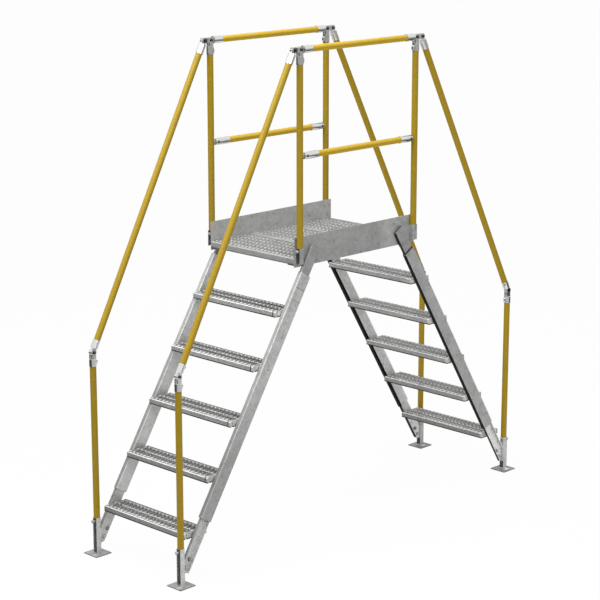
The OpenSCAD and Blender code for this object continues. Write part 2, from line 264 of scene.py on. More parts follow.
def line(wire, middle, half):
    """1 in a band about a middle value, with soft edges."""
    return abs(wire - middle).between(half + 1, half - 1)


print("a flight slopes by", round(math.degrees(SLOPE), 1), "degrees")

# %% Tell which way a face looks
SQUARE_ON = (0.6, 0.9)


def looks_up(finish):
    return finish.facing("Z").between(0.2, 0.7)


def slopes_up(finish):
    """1 on the front faces of stringers and stubs, and on all that look up more."""
    return finish.facing("Z").between(0.2, 0.4)


def looks_down(finish):
    return finish.facing("Z").between(-0.05, -0.3)


def looks_back(finish, axis):
    """1 on faces that look against an axis."""
    return (0 - finish.facing(axis)).between(*SQUARE_ON)


print("faces count as square on from", SQUARE_ON)

# %% Painted shade, highlights and marks of the stringers
NEAR_WEB_Y = (-333, -333.6)
MARKS_DOWN = ((137, 0.4), (202, 0.3))
MARK_HALF = 3
NEAR_LOW_Z = (1050, 500)
NEAR_LOW_GREY = 0.33
NEAR_FRONT_GREY = 0.19
FAR_LOW_Z = (1250, 650)
FAR_FRONT_GREY = 0.25
LEFT_SHADE_TOP = 30
RIGHT_SHADE_TOP = 50
SHADE_FULL = 5
CONTACT_SHADE_GREY = 0.2
SHADED_RIM = (REAR_EDGE - 14, REAR_EDGE - 11)
BLACK = 0.97
HIGHLIGHT_CORNER = FRONT_EDGE + 2
HIGHLIGHT_HALF = 2.5
HIGHLIGHT_FACES = (0.3, 0.6)
HIGHLIGHT_GAIN = 0.5


def near_left_marks_and_shade(finish):
    """Marks across the outer web, and painted shade that greys the front face and darkens everything low
    down.
    """
    down = down_slope(finish)
    marks = sum(line(down, middle, MARK_HALF) * grey for middle, grey in MARKS_DOWN)
    low = finish.mm("Z").between(*NEAR_LOW_Z)
    web = finish.mm("Y").between(*NEAR_WEB_Y)
    return web * marks + slopes_up(finish) * NEAR_FRONT_GREY + low * NEAR_LOW_GREY


def tread_contact_shade(finish, height):
    """Painted contact shade on the inner webs, up to a height above each tread."""
    return (finish.mm("Z") % RISE).between(height, SHADE_FULL) * looks_back(finish, "Y") * CONTACT_SHADE_GREY


def far_left_shade(finish):
    """Painted contact shade above the treads, and painted shade that greys the front face, more so low down.
    """
    low = finish.mm("Z").between(*FAR_LOW_Z)
    return tread_contact_shade(finish, LEFT_SHADE_TOP) + slopes_up(finish) * (1 + low) * FAR_FRONT_GREY


def far_right_shade(finish):
    """Painted contact shade above the treads, and painted shade that makes a black rim along the rear edge.
    """
    rim = below_noses(finish).between(*SHADED_RIM)
    return (tread_contact_shade(finish, RIGHT_SHADE_TOP) + rim * BLACK).between(0, 1)


def front_edge_highlight(finish):
    """A painted highlight along the rounded front corner of a stringer."""
    corner = line(below_noses(finish), HIGHLIGHT_CORNER, HIGHLIGHT_HALF)
    return corner * abs(finish.facing("Y")).between(*HIGHLIGHT_FACES) * HIGHLIGHT_GAIN


print("stringers have", len(MARKS_DOWN), "marks on the near left web")

# %% Painted shade of the stubs and the upright channels, and a dark seam line
STUB_FRONT = (REAR_EDGE - 40, REAR_EDGE - 50)
STUB_FRONT_GREY = 0.75
STUB_INSIDE_GAIN = 0.3
STUB_REAR = (REAR_EDGE - 30, REAR_EDGE - 20)
SEAM_DOWN = 52
SEAM_HALF = 4
SEAM_GREY = 0.8
CHANNEL_INSIDE = 12.3
CRISP = 0.1
CHANNEL_GREY = 0.45


def left_stub_light_and_shade(finish):
    """Painted shade darkens the front face, and painted light brightens the other faces that slope up, such
    as the inside of the rear flange.
    """
    front = below_noses(finish).between(*STUB_FRONT)
    return slopes_up(finish) * (front * STUB_FRONT_GREY - STUB_INSIDE_GAIN)


def right_stub_shade(finish):
    """Painted shade makes the rear face black. The inside of the front flange isn't."""
    return looks_down(finish) * below_noses(finish).between(*STUB_REAR) * BLACK


def dark_seam_line(finish):
    """A dark line across the right platform stubs."""
    return (1 - left_side(finish)) * line(down_slope(finish), SEAM_DOWN, SEAM_HALF) * SEAM_GREY


def channel_shade(finish, x, y):
    """Painted shade on the inner faces of the upright channels that stand at a place."""
    between_flanges = abs(abs(finish.mm("Y")) - y).between(CHANNEL_INSIDE + CRISP, CHANNEL_INSIDE - CRISP)
    behind_web = abs(finish.mm("X")).between(x - CHANNEL_INSIDE - CRISP, x - CHANNEL_INSIDE + CRISP)
    return between_flanges * behind_web * CHANNEL_GREY


# Painted shade inside the post sockets.
def socket_shade(finish):
    return channel_shade(finish, POST_X, POST_Y)


# Painted shade darkens the channels within this distance of their middle.
print("channels are dirty within", CHANNEL_INSIDE, "mm of their middle")

# %% Painted shade and reflections of the feet
PLATE_GREY = 0.32
PLATE_EDGES = (0.7, 0.3)
PLATE_EDGE_GREY = 0.25
SHEEN_SIDE = -23
SHEEN_LEFT_OUT = 34
SHEEN_HALF_LENGTH = 15
SHEEN_HALF_WIDTH = 11
SHEEN_LEFT_GAIN = 0.4
SHEEN_RIGHT_GAIN = 1.2
STUB_SHADOW_Z = 34
STUB_SHADOW_HALF = 20
STUB_SHADOW_GREY = 0.85


def foot_shade_and_reflection(finish):
    """Painted shade in the channels and a painted shadow low on the right legs. The base plates are darker,
    more on their edges, and each has a painted reflection, a light patch next to its leg.
    """
    left = left_side(finish)
    outward = abs(finish.mm("X")) - LEG_X - left * SHEEN_LEFT_OUT
    sideways = finish.mm("Y") % (2 * LEG_Y) - LEG_Y
    # A painted reflection: a light patch on each base plate.
    sheen = line(outward, 0, SHEEN_HALF_LENGTH) * line(sideways, SHEEN_SIDE, SHEEN_HALF_WIDTH)
    gain = SHEEN_RIGHT_GAIN - left * (SHEEN_RIGHT_GAIN - SHEEN_LEFT_GAIN)
    plate = PLATE_GREY - sheen * gain + finish.facing("Z").between(*PLATE_EDGES) * PLATE_EDGE_GREY
    # A painted shadow low on the right legs.
    stub_shadow = (1 - left) * looks_back(finish, "X") * line(finish.mm("Z"), STUB_SHADOW_Z, STUB_SHADOW_HALF)
    leg = channel_shade(finish, LEG_X, LEG_Y) + stub_shadow * STUB_SHADOW_GREY
    above_base = finish.mm("Z").between(BASE_TOP + CRISP, BASE_TOP + 3 * CRISP)
    return above_base * leg + (1 - above_base) * plate


print("base plates end", BASE_TOP, "mm above the floor")

# %% Painted shade, dark edges and worn strips of the side plates and the deck
FASCIA_Z = (DECK_Z - 24, DECK_Z - 30)
FASCIA_GREY = 0.6
LEDGE_Y = (305, 304)
LEDGE_GREY = 0.75
PLATE_RUBBED_X = (160, 260)
PLATE_GAIN = 0.2
DECK_END_X = (441, 445)
PLANK_SEAM_X = 152.3
PLANK_SEAM_HALF = 17
DECK_GAIN = 0.35


# The fascia is darker along its lower edge.
def fascia_dark_edge(finish):
    return finish.mm("Z").between(*FASCIA_Z) * FASCIA_GREY


# Painted shade darkens the ledges under the deck.
def ledge_shade(finish):
    return abs(finish.mm("Y")).between(*LEDGE_Y) * LEDGE_GREY


def plate_wear(finish):
    return finish.mm("X").between(*PLATE_RUBBED_X) * PLATE_GAIN


def deck_wear(finish):
    """Flat strips along the seams and the ends of the deck are polished."""
    across = abs(finish.mm("X"))
    strips = across.between(*DECK_END_X) + line(across, PLANK_SEAM_X, PLANK_SEAM_HALF)
    return strips * looks_up(finish) * DECK_GAIN


print("planks meet", PLANK_SEAM_X, "mm from the middle of the deck")

# %% Painted shade and highlights of the treads, and dark lines
LIP_FOOT = (21.5, 25)
LIP_SEAM_Y = -288
LIP_SEAM_HALF = 3.5
NOSE_DEPTH = (6, 4)
LIP_GREY = 0.88
REAR_DEPTH = (141, 144)
EDGE_GAIN = 2.2
LEFT_SHADE_DEPTH = (134, 139)
RIGHT_SHADE_DEPTH = (14, 9)
EDGE_GREY = 0.5
END_GAIN = 0.6
NEAR_END_Y = (-290, -291)
NEAR_END_GAIN = 0.5
LIP_LIGHT_Z = (150, 1350)
LIP_LIGHT_GAIN = 0.64
LIP_LOSS = 0.12
CORNER_DEPTH = (8, 6.5)
CORNER_GREY = 0.2
BACK_ROWS = (30, 50)
BACK_ROWS_GREY = 0.1


def lip_dark_lines(finish):
    """The lower edges of the lips are dark, and a painted shadow line darkens the lip at one seam near the
    nose.
    """
    seam = line(finish.mm("Y"), LIP_SEAM_Y, LIP_SEAM_HALF) * behind_nose(finish).between(*NOSE_DEPTH)
    return (below_top(finish).between(*LIP_FOOT) + seam).between(0, 1) * LIP_GREY


def tread_light_and_shade(finish):
    """A painted highlight lights the edge that is seen first and painted shade darkens the other; painted
    light brightens the ends and makes lips lighter with height.
    """
    depth = behind_nose(finish)
    left = left_side(finish)
    top = looks_up(finish)
    highlit_edge = left * depth.between(*NOSE_DEPTH) + (1 - left) * depth.between(*REAR_DEPTH)
    shaded_edge = left * depth.between(*LEFT_SHADE_DEPTH) + (1 - left) * depth.between(*RIGHT_SHADE_DEPTH)
    edges = (highlit_edge * EDGE_GAIN - shaded_edge * EDGE_GREY) * top
    near_end = finish.mm("Y").between(*NEAR_END_Y) * NEAR_END_GAIN
    ends = abs(finish.facing("Y")).between(*SQUARE_ON) * END_GAIN + near_end
    high = (1 - top) * (finish.mm("Z").between(*LIP_LIGHT_Z) * LIP_LIGHT_GAIN - (2 - left) * LIP_LOSS)
    return edges + ends + high


# Painted shade darkens the front of each corner tab, in the recess behind the lip.
def corner_shade(finish):
    return behind_nose(finish).between(*CORNER_DEPTH) * CORNER_GREY


# Painted shade darkens the back rows of teeth.
def back_row_shade(finish):
    return behind_nose(finish).between(*BACK_ROWS) * BACK_ROWS_GREY


print("lips end", LIP_FOOT[1], "mm below the tread")

# %% [markdown]
# ## Galvanised steel
#
# Hot zinc freezes on the steel in crystals called spangle: flakes a few millimetres to a few centimetres
# wide, each a slightly different grey. A picture of zinc could be laid on, but it would have seams. So
# Voronoi cells give the flakes, a coarse noise gives cloudy patches, and fine noise breaks both up. Zinc
# dulls soon, so the metal is only partly mirror-like. Painted shade darkens the faces that look at the floor,
# and most of them are nearly black. Each kind of piece has its own tone, which paints the light and shade
# that falls on it, so near and far, left and right pieces are lit and shaded copies of one zinc.

# %% Make the galvanised finishes
ZINC_TINT = (1, 1.008, 0.99)
COARSE = 14 * MM
MEDIUM = 12 * MM
FINE = 9 * MM
TINY = 6 * MM
SPECK = 4 * MM


def galvanised(name, tone, spangle, under=0.9, darkening=None, wear_and_lighting=None):
    """Zinc of one tone with flakes of one width, and painted shade that darkens undersides by a share."""
    finish = Finish(name)
    flakes = {"Vector": finish.place, "Scale": 1 / spangle}
    flake = finish.part_of(finish.node("ShaderNodeTexVoronoi", None, flakes, "Color"), "X")
    cloud = finish.noise(9, 3, 0.55)
    smudge = finish.noise(34, 3, 0.6).between(0.56, 0.74)
    grain = finish.noise(420, 2)
    streak = finish.noise(26, 2)
    value = 0.63 + flake * 0.18 + cloud * 0.34 + grain * 0.1 + streak * 0.2 - smudge * 0.28
    # Painted shade: faces that look down are darkened by the under share.
    below = looks_down(finish)
    value = value * (1 - below * under)
    if darkening:
        value = value * (1 - darkening(finish))
    if wear_and_lighting:
        value = value * (1 + wear_and_lighting(finish))
    finish.surface(
        Base_Color=finish.shade([tone * share for share in ZINC_TINT], value),
        Metallic=0.35 - below * 0.35,
        Roughness=0.38 + flake * 0.14 + cloud * 0.14,
        Specular_IOR_Level=0.1,
        Normal=finish.bump(grain + flake * 0.3, 0.2 * MM, 0.35),
    )
    return finish.material


# The tone of each piece paints the light and shade that falls on it; the under share is painted shade.
FINISHES = {
    "left_near_stringer": galvanised("zinc_near_left", 0.455, COARSE, 0.95, near_left_marks_and_shade, front_edge_highlight),
    "left_far_stringer": galvanised("zinc_far_left", 0.55, COARSE, 0.95, far_left_shade, front_edge_highlight),
    "right_near_stringer": galvanised("zinc_near_right", 0.385, COARSE, 1),
    "right_far_stringer": galvanised("zinc_far_right", 0.72, COARSE, 1, far_right_shade),
    "left_leg_stub": galvanised("zinc_left_stub", 0.48, MEDIUM, 0.4, left_stub_light_and_shade),
    "right_leg_stub": galvanised("zinc_right_stub", 0.75, MEDIUM, 0.35, right_stub_shade),
    "platform_stub": galvanised("zinc_platform_stub", 0.31, COARSE, 0.95, dark_seam_line),
    "foot": galvanised("zinc_foot", 0.50, MEDIUM, 0.8, foot_shade_and_reflection),
    "near_side_plate": galvanised("zinc_near_plate", 0.32, COARSE, darkening=ledge_shade, wear_and_lighting=plate_wear),
    "far_side_plate": galvanised("zinc_far_plate", 0.43, COARSE, darkening=ledge_shade),
    "socket": galvanised("zinc_socket", 0.33, COARSE, darkening=socket_shade),
    "left_tread": galvanised("zinc_left_tread", 0.255, FINE, darkening=lip_dark_lines, wear_and_lighting=tread_light_and_shade),
    "right_tread": galvanised("zinc_right_tread", 0.335, FINE, darkening=lip_dark_lines, wear_and_lighting=tread_light_and_shade),
    "plank": galvanised("zinc_deck", 0.31, FINE, darkening=fascia_dark_edge, wear_and_lighting=deck_wear),
}
# Teeth and collars of left and right treads are lit and shaded copies of one zinc: their tones are painted
# light and shade.
zinc_corner = galvanised("zinc_corner", 0.58, FINE, darkening=corner_shade)
zinc_left_teeth = galvanised("zinc_left_teeth", 0.53, TINY, 0.6, back_row_shade)
zinc_right_teeth = galvanised("zinc_right_teeth", 0.97, TINY, 0.3)
zinc_deck_teeth = galvanised("zinc_deck_teeth", 0.48, TINY, 0.6)
zinc_left_collars = galvanised("zinc_left_collars", 0.15, TINY, 0.6)
zinc_right_collars = galvanised("zinc_right_collars", 0.4, TINY, 0.6)
zinc_deck_collars = galvanised("zinc_deck_collars", 0.42, TINY, 0.6)
zinc_bolt = galvanised("zinc_bolt", 0.42, SPECK, 0.6)
grimy_bolt = galvanised("grimy_bolt", 0.24, SPECK, 0.6)
print("made zinc for", ", ".join(FINISHES))

# %% [markdown]
# ## Yellow powder coat
#
# The rails are powder coated: a thick, even, slightly orange-peeled skin. The colour hardly changes, so its
# life comes from a fine bump, a soft gloss and slight fading in patches. Painted light makes the faces that
# look up lighter, and painted bounce light lifts the undersides a little. One colour could serve all the
# tubes, but posts, sloping rails and level rails catch the light apart, so six lit and shaded tones are made
# from one recipe.

# %% Make the yellow finishes
SHADED_YELLOW = ((0.287, 0.19, 0.006), (0.3, 0.199, 0.007))
LIT_YELLOW = ((0.425, 0.285, 0.025), (0.445, 0.298, 0.029))
UNDERSIDE_BOUNCE_LIGHT = 0.22


def yellow_coat(name, tone):
    finish = Finish(name)
    fade = finish.noise(14, 3)
    peel = finish.noise(700, 1)
    # Painted light on faces that look up, and painted bounce light on undersides.
    lit_from_above = finish.facing("Z").between(-0.1, 0.8)
    colour = finish.mix(lit_from_above, finish.mix(fade, *SHADED_YELLOW), finish.mix(fade, *LIT_YELLOW))
    painted_bounce = 1 + finish.facing("Z").between(0, -0.7) * UNDERSIDE_BOUNCE_LIGHT
    finish.surface(
        Base_Color=finish.shade(colour, tone * painted_bounce),
        Roughness=0.36 + fade * 0.14,
        Specular_IOR_Level=0.2,
        Normal=finish.bump(peel, 0.1 * MM, 0.2),
    )
    return finish.material


# The six tones paint the light that falls on each kind of tube.
yellow_post = yellow_coat("yellow_post", 1.01)
yellow_left_post = yellow_coat("yellow_left_post", 0.97)
yellow_right_post = yellow_coat("yellow_right_post", 1.1)
yellow_slope = yellow_coat("yellow_slope", 0.97)
yellow_right_slope = yellow_coat("yellow_right_slope", 1.05)
yellow_rail = yellow_coat("yellow_rail", 1.33)
print("made six yellow finishes")

# %% [markdown]
# ## Bright fittings and dark screws
#
# The swivel fittings are bright cast and tumbled metal with soft mirror reflections. Fine noise in the
# roughness keeps the mirror from looking like glass, and the cheeks of the left corner swivels are darker.
# The screws and pin heads in them are blackened steel. A plain grey would be simpler, but only a
# real mirror shows the dark and light stripes that tell the eye how a fitting curves.

# %% Make the bright and dark metals
CHEEK_OUT = 42
CHEEK_HALF_LENGTH = 15
CHEEK_HALF_HEIGHT = 12
CHEEK_GREY = 0.6


def bright_metal():
    finish = Finish("bright_fitting")
    cloud = finish.noise(40, 3)
    grain = finish.noise(900, 2)
    level = line(finish.mm("Z"), RAIL_Z, CHEEK_HALF_HEIGHT)
    cheeks = level * line(finish.mm("X"), -POST_X - CHEEK_OUT, CHEEK_HALF_LENGTH)
    colour = finish.mix(cloud, (0.66, 0.66, 0.65), (0.8, 0.8, 0.79))
    finish.surface(
        Base_Color=finish.shade(colour, 1 - cheeks * CHEEK_GREY),
        Metallic=1.0,
        Roughness=0.09 + cloud * 0.12,
        Normal=finish.bump(grain, 0.08 * MM, 0.3),
    )
    return finish.material


def dark_metal():
    finish = Finish("black_screw")
    grain = finish.noise(600, 2)
    finish.surface(
        Base_Color=finish.mix(grain, (0.008, 0.008, 0.008), (0.025, 0.025, 0.025)),
        Metallic=0.4,
        Roughness=0.4 + grain * 0.2,
        Specular_IOR_Level=0.2,
    )
    return finish.material


bright_fitting = bright_metal()
black_screw = dark_metal()
print("made", bright_fitting.name, "and", black_screw.name)

# %% [markdown]
# ## Dressing the construction
#
# Each node of the construction keeps its shape and gets one of the finishes. They could be given one by one,
# but node names say what the nodes are, so the first word of the list that a name holds picks the finish.

# %% Give each node its finish
FINISHES.update({
    "fitting": bright_fitting,
    "left_lower_post": yellow_left_post,
    "right_lower_post": yellow_right_post,
    "post": yellow_post,
    "right_near_sloping": yellow_right_slope,
    "right_far_sloping": yellow_right_slope,
    "sloping_rail": yellow_slope,
    "rail": yellow_rail,
})
for name, node in NODES.items():
    word = next(word for word in FINISHES if word in name)
    for material_slot in node.material_slots:
        material_slot.material = FINISHES[word]
print("dressed", len(NODES), "nodes")

# %% [markdown]
# ## Tools for modelling by hand
#
# The pieces below are made as by hand: a primitive is added, opened in edit mode, and shaped by operators on
# the faces or points that are picked. Small helpers deselect everything, pick by a test, apply a modifier and
# join pieces. Another one copies a finished master to each of its places and joins the copies, so that the
# many bolts of one kind become one piece that rides on the ladder.


# %% Helpers that pick faces and points
def deselect_all():
    bpy.ops.object.select_all(action="DESELECT")


def open_with_nothing_picked(kind):
    bpy.ops.object.mode_set(mode="EDIT")
    bpy.ops.mesh.select_mode(type=kind)
    bpy.ops.mesh.select_all(action="DESELECT")
    bpy.ops.object.mode_set(mode="OBJECT")


def pick_faces(piece, test):
    """Opens a piece in edit mode with only the faces selected that pass the test."""
    open_with_nothing_picked("FACE")
    for face in piece.data.polygons:
        face.select = test(face)
    bpy.ops.object.mode_set(mode="EDIT")


def pick_points(piece, test):
    """Opens a piece in edit mode with only the points selected that pass the test."""
    open_with_nothing_picked("VERT")
    for point in piece.data.vertices:
        point.select = test(point.co)
    bpy.ops.object.mode_set(mode="EDIT")


def looking(axis, way):
    """A test for the faces that look one way along an axis."""
    return lambda face: face.normal["XYZ".index(axis)] * way > SQUARE_ON[1]


def push(x, y, z):
    """Extrudes what is picked by a move in metres."""
    bpy.ops.mesh.extrude_region_move(TRANSFORM_OT_translate={"value": (x, y, z)})


print("tools that pick are ready")


# %% Helpers that finish, copy and join
def apply_modifier(piece, kind, **settings):
    made = piece.modifiers.new(kind.lower(), kind)
    for key, value in settings.items():
        setattr(made, key, value)
    bpy.context.view_layer.objects.active = piece
    bpy.ops.object.modifier_apply(modifier=made.name)


def soften(piece, width, segments=2):
    """Bevels the sharp edges of a piece."""
    apply_modifier(piece, "BEVEL", width=width, segments=segments, limit_method="ANGLE")


def repeat(piece, count, offset):
    steps = {"use_relative_offset": False, "use_constant_offset": True, "constant_offset_displace": offset}
    apply_modifier(piece, "ARRAY", count=count, **steps)


def join(pieces, name):
    deselect_all()
    for piece in pieces:
        piece.select_set(True)
    bpy.context.view_layer.objects.active = pieces[0]
    bpy.ops.object.join()
    joined = bpy.context.object
    joined.name = name
    bpy.ops.object.transform_apply()
    return joined


def copy_to(master, matrix):
    made = master.copy()
    made.data = master.data.copy()
    made.data.transform(matrix)
    if matrix.determinant() < 0:
        made.data.flip_normals()
    SCENE.collection.objects.link(made)
    return made


def fit_out(name, master, matrices, finish):
    """Copies a master to each place, joins the copies into one piece and hands it to the ladder."""
    piece = join([copy_to(master, matrix) for matrix in matrices], name)
    piece.data.materials.clear()
    piece.data.materials.append(finish)
    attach(piece, "root")
    print(name, "has", len(matrices), "copies,", len(piece.data.polygons), "faces")
    return piece


print("tools that finish are ready")

# %% Helpers that find places
SIDES = (-1, 1)
CORNERS = [(flight, side) for flight in SIDES for side in SIDES]
FLIGHTS = (("left", -1), ("right", 1))
STEPS = range(1, 6)
PLANKS = 3


def stand(place, direction, turn=0.0):
    """Matrix that puts a master, drawn along +Z at the origin, at a place in mm along a direction."""
    rotation = Vector(direction).to_track_quat("Z", "Y").to_matrix().to_4x4()
    return Matrix.Translation(Vector(place) * MM) @ rotation @ Matrix.Rotation(turn, 4, "Z")


def point_inward(place, flight):
    """Matrix that puts a master, drawn along +X, at a place in mm and points it at the ladder's middle."""
    return Matrix.Translation(Vector(place) * MM) @ Matrix.Rotation(math.pi if flight > 0 else 0, 4, "Z")


def tread_noses():
    """The way out of the ladder, the nose's X and the top's Z of every tread, in metres."""
    for flight, outward in FLIGHTS:
        for step in STEPS:
            low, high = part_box(f"{flight}_tread_{step}")
            yield outward, (low if outward < 0 else high)[0], high[2]


def plank_middles():
    low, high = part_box("deck_planks")
    width = (high[0] - low[0]) / PLANKS
    return [low[0] + (k + 0.5) * width for k in range(PLANKS)]


print("found", len(list(tread_noses())), "treads and", len(plank_middles()), "planks")

# %% [markdown]
# ## Teeth of the gratings
#
# The sheets are punched with staggered rows of diamonds. In every second row the metal between two diamonds
# is pressed up into a tooth that slopes up from the nose and drops behind, and in the rows between, a low
# notched collar is drawn up round each diamond. Both could be displaced from a texture, but their outline
# shows against the light, so they are meshes. One tooth and one collar are repeated over a tread by arrays.

# %% Model one tooth
DIAMOND_LENGTH = 36 * MM
DIAMOND_WIDTH = 18 * MM
DIAMOND_PITCH = 28 * MM
ROW_PITCH = 25.75 * MM
TOOTH_FRONT = -11 * MM
TOOTH_BACK = -3.5 * MM
TOOTH_WIDTH = 14 * MM
TOOTH_RISE = 5 * MM
TOOTH_FRONT_RISE = 0.4 * MM
TOOTH_TOP = 0.7
TOOTH_FOOT = 0.85
TOOTH_BEVEL = 0.8 * MM


def model_tooth():
    """A ramp that rises from front to back, drawn about the middle of its row."""
    deselect_all()
    size = (TOOTH_BACK - TOOTH_FRONT, TOOTH_WIDTH, TOOTH_RISE)
    middle = ((TOOTH_FRONT + TOOTH_BACK) / 2, 0, TOOTH_RISE / 2)
    bpy.ops.mesh.primitive_cube_add(size=1, location=middle, scale=size)
    tooth = bpy.context.object
    bpy.ops.object.transform_apply()
    pick_points(tooth, lambda point: point.x < middle[0] and point.z > middle[2])
    bpy.ops.transform.translate(value=(0, 0, TOOTH_FRONT_RISE - TOOTH_RISE))
    pick_points(tooth, lambda point: point.x > middle[0] and point.z > middle[2])
    bpy.ops.transform.resize(value=(1, TOOTH_TOP, 1))
    pick_points(tooth, lambda point: point.x > middle[0] and point.z < middle[2])
    bpy.ops.transform.resize(value=(1, TOOTH_FOOT, 1))
    bpy.ops.object.mode_set(mode="OBJECT")
    soften(tooth, TOOTH_BEVEL, 1)
    return tooth


tooth = model_tooth()
print("tooth has", len(tooth.data.polygons), "faces")

# %% Model one collar
COLLAR_RISE = 3 * MM
NOTCH_RISE = 1.2 * MM
COLLAR_ROOT = -1.0 * MM
COLLAR_WALL = 1.6 * MM
COLLAR_DRAW = (0.97, 0.95, 1)
COLLAR_OFFSET = 0.6


def is_notch(point):
    quarter = round(abs(point.x) / (DIAMOND_LENGTH / 4))
    return point.z > 0 and quarter % 2 == 0


def model_collar():
    deselect_all()
    bpy.ops.mesh.primitive_circle_add(vertices=4, radius=0.5, location=(0, 0, COLLAR_ROOT))
    collar = bpy.context.object
    bpy.ops.object.transform_apply()
    bpy.ops.object.mode_set(mode="EDIT")
    bpy.ops.mesh.select_all(action="SELECT")
    bpy.ops.mesh.subdivide(number_cuts=1)
    bpy.ops.transform.resize(value=(DIAMOND_LENGTH, DIAMOND_WIDTH, 1))
    bpy.ops.mesh.extrude_edges_move(TRANSFORM_OT_translate={"value": (0, 0, COLLAR_RISE - COLLAR_ROOT)})
    bpy.ops.transform.resize(value=COLLAR_DRAW)
    bpy.ops.object.mode_set(mode="OBJECT")
    pick_points(collar, is_notch)
    bpy.ops.transform.translate(value=(0, 0, NOTCH_RISE - COLLAR_RISE))
    bpy.ops.mesh.select_all(action="SELECT")
    bpy.ops.mesh.normals_make_consistent(inside=False)
    bpy.ops.object.mode_set(mode="OBJECT")
    apply_modifier(collar, "SOLIDIFY", thickness=COLLAR_WALL, offset=COLLAR_OFFSET)
    return collar


collar = model_collar()
print("collar has", len(collar.data.polygons), "faces")

# %% Repeat them over a sheet
PER_ROW = 21
TREAD_ROWS = 5
PLANK_ROWS = 10


def field(master, rows, first_row, per_row):
    """Every second row of a sheet's pattern, centred on the origin."""
    start = Vector(((first_row - (rows - 1) / 2) * ROW_PITCH, -(per_row - 1) / 2 * DIAMOND_PITCH, 0))
    made = copy_to(master, Matrix.Translation(start))
    repeat(made, per_row, (0, DIAMOND_PITCH, 0))
    repeat(made, (rows - first_row + 1) // 2, (2 * ROW_PITCH, 0, 0))
    return made


tread_teeth = field(tooth, TREAD_ROWS, 0, PER_ROW + 1)
tread_collars = field(collar, TREAD_ROWS, 1, PER_ROW - 1)
plank_teeth = field(tooth, PLANK_ROWS, 0, PER_ROW + 1)
plank_collars = field(collar, PLANK_ROWS, 1, PER_ROW - 1)
print("tread teeth have", len(tread_teeth.data.polygons), "faces")

# %% Lay them on every tread and plank
TREAD_FINISHES = {
    "left": (zinc_left_teeth, zinc_left_collars),
    "right": (zinc_right_teeth, zinc_right_collars),
}


def dress_tread(tread, teeth, collars, outward):
    """Teeth slope up from the nose, so a right tread has them mirrored."""
    low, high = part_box(tread)
    top = Matrix.Translation(((low[0] + high[0]) / 2, 0, high[2]))
    place = top @ Matrix.Scale(-outward, 4, (1, 0, 0))
    fit_out(f"{tread}_teeth", tread_teeth, [place], teeth)
    fit_out(f"{tread}_collars", tread_collars, [place], collars)


def dress_deck():
    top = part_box("deck_planks")[1][2]
    places = [Matrix.Translation((middle, 0, top)) for middle in plank_middles()]
    fit_out("deck_teeth", plank_teeth, places, zinc_deck_teeth)
    fit_out("deck_collars", plank_collars, places, zinc_deck_collars)


for flight, outward in FLIGHTS:
    for step in STEPS:
        dress_tread(f"{flight}_tread_{step}", *TREAD_FINISHES[flight], outward)
dress_deck()
for master in (tooth, collar, tread_teeth, tread_collars, plank_teeth, plank_collars):
    bpy.data.objects.remove(master)

# %% [markdown]
# ## Corner tabs of the treads
#
# Behind the open front corners of each tread a tab closes the gap between lip and end plate. It is a folded
# strip. A flat sheet could be folded edge by edge, but a thin block whose front end is drawn out once along
# the tread and then turned in behind the lip has its thickness from the start.

# %% Model a corner tab and set two on every tread
TAB_FRONT = 5 * MM
TAB_LENGTH = 12.5 * MM
TAB_HEIGHT = 26 * MM
TAB_SHEET = 2 * MM
TAB_Y = 302 * MM
TAB_DROP = 3 * MM
TAB_TURN_IN = 8 * MM
TAB_BEVEL = 0.5 * MM


def model_corner_tab():
    """The tab of a left tread's near front corner, drawn about the middle of the nose."""
    deselect_all()
    middle = (TAB_FRONT + TAB_LENGTH / 2, TAB_SHEET / 2 - TAB_Y, -TAB_DROP - TAB_HEIGHT / 2)
    bpy.ops.mesh.primitive_cube_add(size=1, location=middle, scale=(TAB_LENGTH, TAB_SHEET, TAB_HEIGHT))
    tab = bpy.context.object
    bpy.ops.object.transform_apply()
    pick_faces(tab, looking("X", -1))
    push(-TAB_SHEET, 0, 0)
    pick_faces(tab, lambda face: looking("Y", 1)(face) and face.center.x < TAB_FRONT)
    push(0, TAB_TURN_IN, 0)
    bpy.ops.object.mode_set(mode="OBJECT")
    soften(tab, TAB_BEVEL)
    return tab


def corner_tab_places():
    return [Matrix.Translation((nose, 0, top)) @ Matrix.Diagonal((-outward, -side, 1, 1))
            for outward, nose, top in tread_noses() for side in SIDES]


corner_tab = model_corner_tab()
fit_out("corner_tabs", corner_tab, corner_tab_places(), zinc_corner)
bpy.data.objects.remove(corner_tab)

# %% [markdown]
# ## Hexagon bolts with washers
#
# Bolts hold the treads to the stringers, the planks to their ledges and the stubs to the legs. A bolt head is
# a six-sided cylinder whose top is inset and raised a little, which gives the chamfer of a real head, on a
# round washer with softened edges. A bevel modifier with an angle limit softens only the sharp edges.


# %% Model one bolt
def model_bolt(washer_radius, head_radius, head_height):
    """A head on a washer, along +Z. All its small sizes are shares of the three that are given."""
    washer_height = 0.2 * head_height
    deselect_all()
    bpy.ops.mesh.primitive_cylinder_add(vertices=24, radius=washer_radius, depth=washer_height)
    washer = bpy.context.object
    pick_faces(washer, looking("Z", 1))
    bpy.ops.mesh.inset(thickness=0.12 * washer_radius, depth=0.2 * washer_height)
    bpy.ops.object.mode_set(mode="OBJECT")
    middle = (0, 0, (washer_height + head_height) / 2)
    bpy.ops.mesh.primitive_cylinder_add(vertices=6, radius=head_radius, depth=head_height, location=middle)
    head = bpy.context.object
    pick_faces(head, looking("Z", 1))
    bpy.ops.mesh.inset(thickness=0.16 * head_radius, depth=0.1 * head_height)
    bpy.ops.object.mode_set(mode="OBJECT")
    bolt = join([washer, head], "bolt")
    soften(bolt, 0.04 * head_radius)
    return bolt


